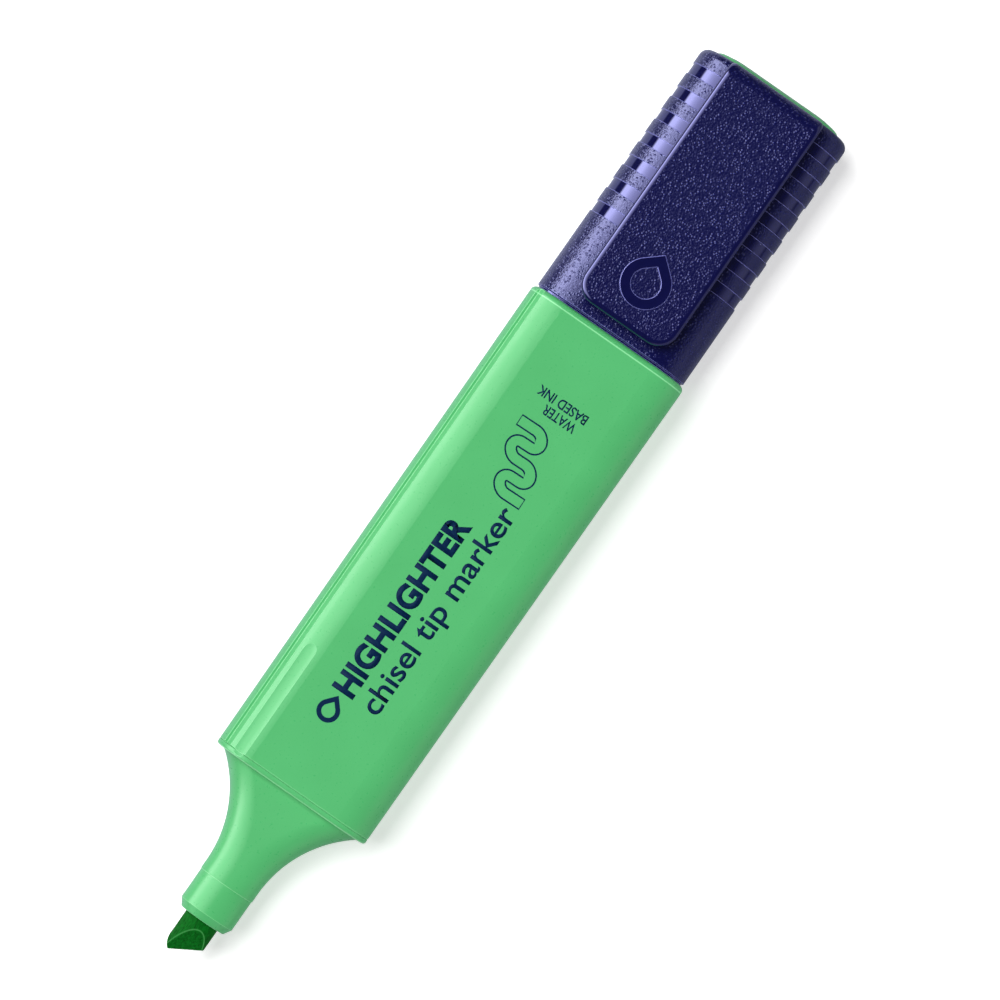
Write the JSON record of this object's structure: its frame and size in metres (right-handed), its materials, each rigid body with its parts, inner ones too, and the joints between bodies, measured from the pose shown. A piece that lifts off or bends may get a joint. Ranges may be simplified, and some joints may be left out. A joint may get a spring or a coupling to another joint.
{
  "type": "highlighter pen",
  "caption": "Flat-barrelled chisel-tip highlighter lying on its back, with its clip cap posted on the rear end; the cap pulls off and the clip flexes.",
  "frame": {"origin": "middle of the bounding box at its lowest level, with the pen lying on the flat back of its barrel", "axes": "+X along the pen from the nib to the cap, +Z out of the clip side, +Y to the left when the clip faces the viewer and the cap is up"},
  "size_m": [0.151, 0.0262, 0.0181],
  "materials": {
    "green_plastic": "smooth injection-moulded polypropylene",
    "navy_plastic": "fine spark-eroded texture, glossy in the grooves",
    "nib_felt": "bonded polyester fibre soaked in ink",
    "ink_fibre": "polyester fibre block soaked in ink",
    "clear_film": "thin clear film"
  },
  "bodies": {
    "barrel": {"barrel": "green_plastic", "front_section": "green_plastic", "nib": "nib_felt", "ink_reservoir": "ink_fibre", "reservoir_film": "clear_film", "rear_plug": "navy_plastic"},
    "cap": {"cap_shell": "navy_plastic", "cap_liner": "green_plastic"},
    "clip": {"pocket_clip": "navy_plastic"}
  },
  "joints": [
    {"name": "cap_pull", "type": "slide", "parent": "barrel", "child": "cap", "axis": [1, 0, 0], "range_m": [0, 0.02]},
    {"name": "clip_flex", "type": "hinge", "parent": "cap", "child": "clip", "pos_m": [0.0721, 0, 0.01525], "axis": [0, 1, 0], "range_deg": [0, 3.5], "stiffness_Nm_per_rad": 0.65}
  ]
}
